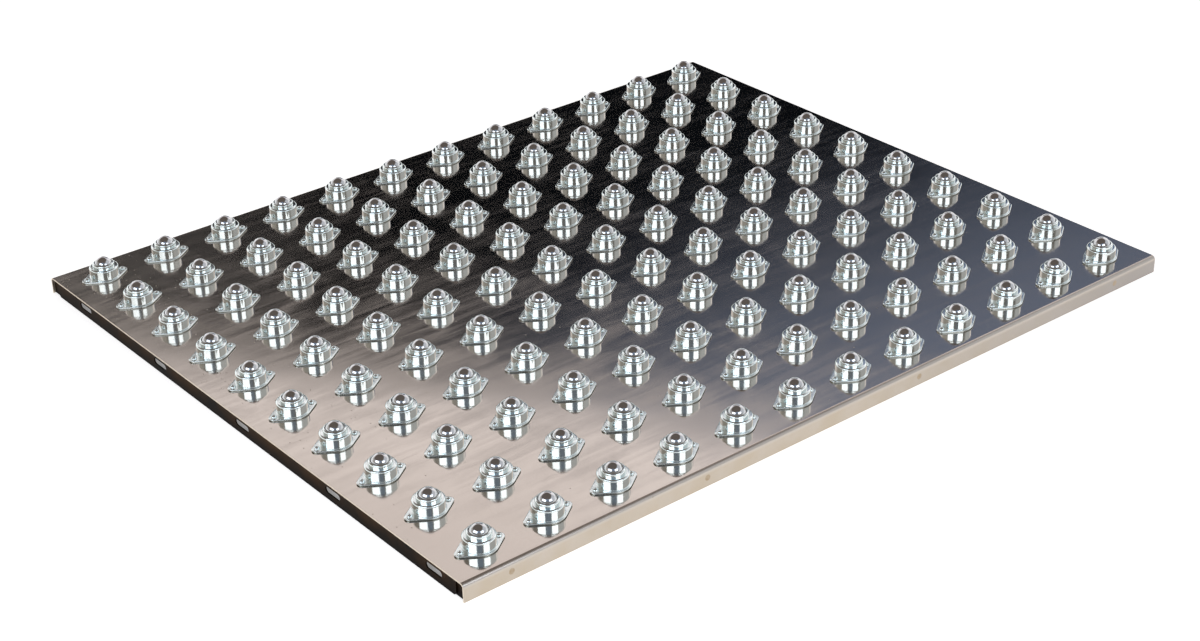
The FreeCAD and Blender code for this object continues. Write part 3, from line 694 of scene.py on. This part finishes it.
class PLATFORM_OT_housings(bpy.types.Operator):
    """Press the unit housings, row by row"""

    bl_idname = "platform.housings"
    bl_label = "Unit housings"
    steps = 40

    def execute(self, context):
        zinc = zinc_finish()
        for row in ROWS:
            bm = bmesh.new()
            self.press_housing(bm)
            copy_to(bm, unit_places(row))
            node = f"housings_row_{row}"
            finish_piece(bm, f"pressed_{node}", DECK, [zinc], [node])
        return {"FINISHED"}

    def press_housing(self, bm):
        """A turned wall with a shoulder, joined to a diamond flange."""
        size = sizes()
        flange_top = BASE_GAUGE + size.flange_gauge
        bore = size.body_radius - size.body_wall
        shoulder_under = SHOULDER_HEIGHT - size.shoulder_gauge
        add_line(bm, [
            (size.body_radius + 1.2 * size.root_round, flange_top, 0),
            (size.body_radius, flange_top, size.root_round),
            (size.body_radius, SHOULDER_HEIGHT, size.shoulder_round),
            (size.shoulder_bore, SHOULDER_HEIGHT, size.edge_break),
            (size.shoulder_bore, shoulder_under, 0),
            (bore, shoulder_under, 0),
            (bore, BASE_GAUGE, 0),
        ])
        turn(bm, self.steps)
        rims = [e for e in bm.edges if e.is_boundary]
        upper_rim = [e for e in rims if e.verts[0].co.z > flange_top - MERGE_DISTANCE]
        lower_rim = [e for e in rims if e not in upper_rim]
        outline = draw_flange(bm, flange_top)
        made = bmesh.ops.extrude_edge_only(bm, edges=outline)["geom"]
        low_verts = [v for v in made if isinstance(v, bmesh.types.BMVert)]
        bmesh.ops.translate(bm, vec=(0, 0, -size.flange_gauge), verts=low_verts)
        low_outline = [e for e in made if isinstance(e, bmesh.types.BMEdge) and e.is_boundary]
        bmesh.ops.triangle_fill(bm, use_beauty=True, edges=upper_rim + outline, normal=(0, 0, 1))
        bmesh.ops.triangle_fill(bm, use_beauty=True, edges=lower_rim + low_outline, normal=(0, 0, -1))
        bmesh.ops.recalc_face_normals(bm, faces=bm.faces[:])
        bmesh.ops.bevel(bm, geom=outline, offset=size.flange_edge, segments=3, profile=0.5, affect="EDGES",
                        material=-1)


class PLATFORM_OT_retainers(bpy.types.Operator):
    """Turn the domed rings that hold the balls down"""

    bl_idname = "platform.retainers"
    bl_label = "Ball retainers"
    steps = 40

    def execute(self, context):
        zinc = zinc_finish()
        for row in ROWS:
            bm = bmesh.new()
            self.turn_ring(bm)
            copy_to(bm, unit_places(row))
            node = f"retainers_row_{row}"
            finish_piece(bm, f"domed_{node}", DECK, [zinc], [node])
        return {"FINISHED"}

    def turn_ring(self, bm):
        """A skirt inside the housing, a dome on its shoulder, and a lip over the ball."""
        size = sizes()
        lip_under = size.retainer_top - size.lip_depth
        corners = [
            (size.skirt_inner, RETAINER_FOOT, 0),
            (size.skirt_outer, RETAINER_FOOT, 0),
            (size.skirt_outer, SHOULDER_HEIGHT, 0),
            (RETAINER_RADIUS, SHOULDER_HEIGHT, size.edge_break),
            (RETAINER_RADIUS, size.retainer_top, size.dome_round),
            (size.lip_radius, size.retainer_top, size.lip_round),
            (size.lip_radius, lip_under, 0),
            (size.skirt_inner, lip_under - size.cone_rise, 0),
            (size.skirt_inner, RETAINER_FOOT, 0),
        ]
        add_line(bm, corners)
        turn(bm, self.steps)
        bmesh.ops.recalc_face_normals(bm, faces=bm.faces[:])


class PLATFORM_OT_load_balls(bpy.types.Operator):
    """Set a polished ball in every unit"""

    bl_idname = "platform.load_balls"
    bl_label = "Load balls"
    around = 36
    upright = 18

    def execute(self, context):
        steel = polished_steel("polished_bearing_steel", finishes().ball, BALL_ROUGHNESS)
        for row in ROWS:
            bm = bmesh.new()
            bmesh.ops.create_uvsphere(
                bm, u_segments=self.around, v_segments=self.upright, radius=BALL_RADIUS)
            rise = Vector((0, 0, BALL_HEIGHT))
            copy_to(bm, [place + rise for place in unit_places(row)])
            node = f"load_balls_row_{row}"
            finish_piece(bm, f"polished_{node}", BALLS + row, [steel], [node])
        return {"FINISHED"}


class PLATFORM_OT_rivets(bpy.types.Operator):
    """Rivet the flanges to the deck"""

    bl_idname = "platform.rivets"
    bl_label = "Rivets"
    steps = 10

    def execute(self, context):
        plated = bright_zinc("plated_rivet_steel", RIVET_ROUGHNESS)
        reach = Vector((FLANGE_REACH - sizes().ear_radius, 0, 0))
        for row in ROWS:
            bm = bmesh.new()
            self.turn_rivet(bm)
            copy_to(bm, [place + ear for place in unit_places(row) for ear in (-reach, reach)])
            node = f"rivets_row_{row}"
            finish_piece(bm, f"domed_{node}", DECK, [plated], [node])
        return {"FINISHED"}

    def turn_rivet(self, bm):
        """Head with the broken stem in its eye, shank, and the bulb that is drawn up under the deck."""
        size = sizes()
        flange_top = BASE_GAUGE + size.flange_gauge
        head_top = flange_top + size.rivet_rise
        under = -size.sheet_gauge
        add_line(bm, [
            (0, head_top - size.rivet_eye, 0),
            (size.rivet_eye, head_top, 0),
            (0.55 * size.rivet_head, head_top, 0),
            (0.88 * size.rivet_head, flange_top + 0.66 * size.rivet_rise, 0),
            (size.rivet_head, flange_top + 0.2 * size.rivet_rise, 0),
            (size.rivet_head, flange_top, 0),
            (size.rivet_shank, flange_top, 0),
            (size.rivet_shank, under, 0),
            (size.rivet_bulb, under, 0),
            (0.7 * size.rivet_bulb, RIVET_TAIL, 0),
            (0, RIVET_TAIL, 0),
        ])
        turn(bm, self.steps)
        bmesh.ops.recalc_face_normals(bm, faces=bm.faces[:])


class PLATFORM_OT_inner_parts(bpy.types.Operator):
    """Finish the base plates and bearing cups, and fill in the support balls"""

    bl_idname = "platform.inner_parts"
    bl_label = "Inner parts"
    around = 8
    upright = 6
    ring_count = 6
    ring_lean = math.radians(14)
    running_gap = 0.05 * MM

    def execute(self, context):
        self.cut_base_plates()
        hardened = polished_steel("oiled_hardened_steel", finishes().hardened, CUP_ROUGHNESS)
        dress_node("bearing_cups", hardened)
        polished = bpy.data.materials["polished_bearing_steel"]
        bm = bmesh.new()
        bmesh.ops.create_uvsphere(
            bm, u_segments=self.around, v_segments=self.upright, radius=sizes().small_ball)
        places = [place + offset for row in ROWS for place in unit_places(row) for offset in self.bed()]
        copy_to(bm, places)
        finish_piece(bm, "support_ball_beds", DECK, [polished], ["support_balls"])
        return {"FINISHED"}

    def cut_base_plates(self):
        """Flat plates that close the units. They stand a little back from the flange above."""
        bm = bmesh.new()
        outline = draw_flange(bm, BASE_GAUGE, sizes().plate_set_back)
        bmesh.ops.contextual_create(bm, geom=outline)
        made = bmesh.ops.extrude_face_region(bm, geom=bm.faces[:])["geom"]
        low_verts = [v for v in made if isinstance(v, bmesh.types.BMVert)]
        bmesh.ops.translate(bm, vec=(0, 0, -BASE_GAUGE), verts=low_verts)
        bmesh.ops.recalc_face_normals(bm, faces=bm.faces[:])
        copy_to(bm, [place for row in ROWS for place in unit_places(row)])
        finish_piece(bm, "unit_base_plates", DECK, [zinc_finish()], ["base_plates"])

    def bed(self):
        """Centres of a unit's support balls: one under the load ball and a ring round it."""
        reach = BALL_RADIUS + self.running_gap + sizes().small_ball
        bottom = Vector((0, 0, -reach))
        leant = Quaternion((0, 1, 0), self.ring_lean) @ bottom
        step = 2 * math.pi / self.ring_count
        ring = [Quaternion((0, 0, 1), k * step) @ leant for k in range(self.ring_count)]
        rise = Vector((0, 0, BALL_HEIGHT))
        return [rise + offset for offset in (bottom, *ring)]


def lift(degrees):
    """Upward part of a direction that stands this far above the horizon."""
    return math.sin(math.radians(degrees))


def nearness(degrees):
    """Shared part of two directions that are this far apart."""
    return math.cos(math.radians(degrees))


# The floor's glow is turned down under the deck as a painted shadow, and gets so between these distances past
# the deck's outline.
UNDER_DECK_SHADOW_GLOW = 0.35
UNDER_DECK_SHADOW_FADE = (-8 * MM, -2 * MM)

# The dark wall's upper edge rises a little to the right, and the dusky part falls.
WALL_SLOPE = 0.15
DUSK_SLOPE = 0.35
GAP_TURN = math.radians(2)
GAP_LIFT = math.radians(36)

# A zone of the room fades in along a measure, from the first value, where there is none, to the second.
RIM_FADE = ("wall_top", 0.58, 0.53)
SIDES_FADE = ("behind", 0.62, 0.35)
RIGHT_FADE = ("right", 0.3, 0.6)
FRONT_FADE = ("behind", -0.2, -0.5)
FOOT_FADE = ("up", lift(12), lift(4))
BACK_FOOT_FADES = (("up", lift(24), lift(12)), ("behind", 0.05, 0.35))
CEILING_FADE = ("wall_top", 0.62, 0.74)
GAP_FADES = (("gap", nearness(22), nearness(12)), ("up", lift(25), lift(31)))
DARK_WALL_FADES = (
    ("wall_top", 0.519, 0.506),
    ("behind", 0.0, 0.3),
    ("right", -0.37, -0.27),
    ("right", 0.40, 0.29),
    ("up", lift(10), lift(15)),
)
BLUE_FADE = ("right", 0.10, 0.28)
DUSK_FADE = ("dusk", 0.44, 0.56)

# Each softbox: its name, its turn from the camera's side, and its width in metres
SOFTBOXES = (
    ("left_softbox", math.radians(-36), 1.75),
    ("right_softbox", math.radians(34.5), 1.4),
)
BOX_HEIGHT = 0.82
BOX_LIFT = math.radians(28.5)
BOX_DISTANCE = 2.6
FRAME_WIDTH = 36.0


class PLATFORM_OT_stage(bpy.types.Operator):
    """Set the floor, the room, the lamps and the camera"""

    bl_idname = "platform.stage"
    bl_label = "Stage"

    def execute(self, context):
        studio = context.scene.platform_studio
        context.scene.view_settings.view_transform = "Standard"
        facing = Vector((math.sin(studio.azimuth), -math.cos(studio.azimuth), 0))
        self.lay_floor(studio)
        self.light_room(context.scene, studio, facing)
        self.hang_softboxes(studio, facing)
        self.set_camera(context.scene, studio, facing)
        return {"FINISHED"}

    def lay_floor(self, studio):
        """A pale floor whose white partly glows, so that the ground stays white round a soft shadow; under
        the deck the glow is turned down, a painted shadow.
        """
        bm = bmesh.new()
        bmesh.ops.create_grid(bm, x_segments=1, y_segments=1, size=studio.floor_span / 2)
        mesh = bpy.data.meshes.new("pale_floor")
        bm.to_mesh(mesh)
        bm.free()
        material, tree, place = new_finish("pale_floor_paint")
        path = add_node(tree, "ShaderNodeLightPath")
        seen = add_node(tree, "ShaderNodeMath", {
            0: path.outputs["Is Camera Ray"], 1: path.outputs["Is Glossy Ray"]}, operation="ADD")
        shown = add_node(tree, "ShaderNodeMath", {
            0: seen.outputs[0], 1: path.outputs["Is Transmission Ray"]}, operation="ADD", use_clamp=True)
        # Under the deck the glow is turned down: a painted shadow.
        from_middle = add_node(tree, "ShaderNodeVectorMath", {0: place}, operation="ABSOLUTE")
        past_edge = add_node(tree, "ShaderNodeVectorMath", {
            0: from_middle.outputs[0], 1: (DECK_HIGH.x, DECK_HIGH.y, 0.0)}, operation="SUBTRACT")
        past = add_node(tree, "ShaderNodeSeparateXYZ", {"Vector": past_edge.outputs[0]})
        beyond = add_node(tree, "ShaderNodeMath", {
            0: past.outputs["X"], 1: past.outputs["Y"]}, operation="MAXIMUM")
        glow_with_painted_shadow = add_node(tree, "ShaderNodeMapRange", {
            "Value": beyond.outputs[0], "From Min": UNDER_DECK_SHADOW_FADE[0], "From Max": UNDER_DECK_SHADOW_FADE[1],
            "To Min": UNDER_DECK_SHADOW_GLOW * studio.floor_glow, "To Max": studio.floor_glow})
        level = add_node(tree, "ShaderNodeMath", {
            0: shown.outputs[0], 1: glow_with_painted_shadow.outputs[0]}, operation="MULTIPLY")
        paint = add_node(tree, "ShaderNodeBsdfDiffuse", {"Color": rgba(finishes().floor)})
        glow = add_node(tree, "ShaderNodeEmission", {"Strength": level.outputs[0]})
        both = add_node(tree, "ShaderNodeAddShader", {0: paint.outputs[0], 1: glow.outputs[0]})
        close_finish(tree, both)
        mesh.materials.append(material)
        floor = bpy.data.objects.new("pale_floor", mesh)
        bpy.context.scene.collection.objects.link(floor)

    def light_room(self, scene, studio, facing):
        """A pale room with a dark back wall, which the metal mirrors. The camera itself sees white."""
        scene.world = bpy.data.worlds.new("studio_room")
        scene.world.use_nodes = True
        tree = scene.world.node_tree
        tree.nodes.clear()
        toward = add_node(tree, "ShaderNodeTexCoord").outputs["Generated"]
        right = Vector((-facing.y, facing.x, 0))
        up = Vector((0, 0, 1))
        gap_side = Quaternion(up, GAP_TURN) @ facing
        directions = {
            "up": up,
            "wall_top": up - WALL_SLOPE * right,
            "dusk": up + DUSK_SLOPE * right,
            "behind": -facing,
            "right": right,
            "gap": gap_side * math.cos(GAP_LIFT) + up * math.sin(GAP_LIFT),
        }
        measure = {}
        for name, direction in directions.items():
            along = add_node(tree, "ShaderNodeVectorMath", {0: toward, 1: direction}, operation="DOT_PRODUCT")
            measure[name] = along.outputs["Value"]
        # Each zone lies over the ones before it.
        zones = (
            (studio.room_rim, (RIM_FADE,)),
            (studio.room_sides, (SIDES_FADE,)),
            (studio.room_right, (SIDES_FADE, RIGHT_FADE)),
            (studio.room_front, (FRONT_FADE,)),
            (studio.room_foot, (FOOT_FADE,)),
            (studio.room_foot, BACK_FOOT_FADES),
            (studio.room_ceiling, (CEILING_FADE,)),
            (studio.room_gap, GAP_FADES),
            (studio.room_dark, DARK_WALL_FADES),
            (studio.room_blue, (*DARK_WALL_FADES, BLUE_FADE)),
            (studio.room_dusk, (*DARK_WALL_FADES, DUSK_FADE)),
        )
        shown = rgba(studio.room_back)
        for paint, fades in zones:
            cover = 1.0
            for name, none, full in fades:
                fade = add_node(tree, "ShaderNodeMapRange", {
                    "Value": measure[name], "From Min": none, "From Max": full},
                    interpolation_type="SMOOTHSTEP")
                both = add_node(tree, "ShaderNodeMath", {0: fade.outputs[0], 1: cover}, operation="MULTIPLY")
                cover = both.outputs[0]
            layer = add_node(tree, "ShaderNodeMix", {
                "Factor": cover, "A": shown, "B": rgba(paint)}, data_type="RGBA")
            shown = layer.outputs["Result"]
        path = add_node(tree, "ShaderNodeLightPath")
        white = 1.0 / studio.room_strength
        seen = add_node(tree, "ShaderNodeMix", {
            "Factor": path.outputs["Is Camera Ray"], "A": shown, "B": rgba((white, white, white))},
            data_type="RGBA")
        light = add_node(tree, "ShaderNodeBackground", {
            "Color": seen.outputs["Result"], "Strength": studio.room_strength})
        add_node(tree, "ShaderNodeOutputWorld", {"Surface": light.outputs[0]})

    def hang_softboxes(self, studio, facing):
        """Two softboxes on the camera's side, one each side of the lens."""
        aim = Vector((0, 0, DECK_HIGH.z))
        for name, turn_angle, width in SOFTBOXES:
            level = Quaternion((0, 0, 1), turn_angle) @ facing
            toward = level * math.cos(BOX_LIFT) + Vector((0, 0, math.sin(BOX_LIFT)))
            lamp = bpy.data.lights.new(name, "AREA")
            lamp.shape = "RECTANGLE"
            lamp.size = width
            lamp.size_y = BOX_HEIGHT
            lamp.energy = studio.box_strength * math.pi * width * BOX_HEIGHT
            lamp.color = studio.box_tint
            box = bpy.data.objects.new(name, lamp)
            box.location = aim + BOX_DISTANCE * toward
            box.rotation_mode = "QUATERNION"
            box.rotation_quaternion = (-toward).to_track_quat("-Z", "Y")
            box.visible_camera = False
            bpy.context.scene.collection.objects.link(box)

    def set_camera(self, scene, studio, facing):
        """A camera at the studio's place, turned and rolled as it says."""
        eye = bpy.data.cameras.new("camera")
        eye.lens = studio.lens
        eye.sensor_width = FRAME_WIDTH
        camera = bpy.data.objects.new("camera", eye)
        back = facing * math.cos(studio.elevation) + Vector((0, 0, math.sin(studio.elevation)))
        camera.location = studio.camera_place
        camera.rotation_mode = "QUATERNION"
        camera.rotation_quaternion = (-back).to_track_quat("-Z", "Y") @ Quaternion((0, 0, 1), studio.roll)
        scene.collection.objects.link(camera)
        scene.camera = camera


OPERATORS = (
    PLATFORM_OT_deck,
    PLATFORM_OT_underframe,
    PLATFORM_OT_housings,
    PLATFORM_OT_retainers,
    PLATFORM_OT_load_balls,
    PLATFORM_OT_rivets,
    PLATFORM_OT_inner_parts,
    PLATFORM_OT_stage,
)


class PLATFORM_PT_panel(bpy.types.Panel):
    """Steps that dress the platform"""

    bl_label = "Platform"
    bl_idname = "PLATFORM_PT_panel"
    bl_space_type = "VIEW_3D"
    bl_region_type = "UI"
    bl_category = "Platform"

    def draw(self, context):
        for operator in OPERATORS:
            self.layout.operator(operator.bl_idname)


GROUPS = {
    "platform_sizes": PlatformSizes,
    "platform_finishes": PlatformFinishes,
    "platform_studio": PlatformStudio,
}


def register():
    for cls in (*GROUPS.values(), *OPERATORS, PLATFORM_PT_panel):
        bpy.utils.register_class(cls)
    for name, group in GROUPS.items():
        setattr(bpy.types.Scene, name, bpy.props.PointerProperty(type=group))


def unregister():
    for name in GROUPS:
        delattr(bpy.types.Scene, name)
    for cls in (PLATFORM_PT_panel, *reversed(OPERATORS), *reversed(GROUPS.values())):
        bpy.utils.unregister_class(cls)


def main():
    register()
    for operator in OPERATORS:
        group, step = operator.bl_idname.split(".")
        getattr(getattr(bpy.ops, group), step)()


if __name__ == "__main__":
    main()
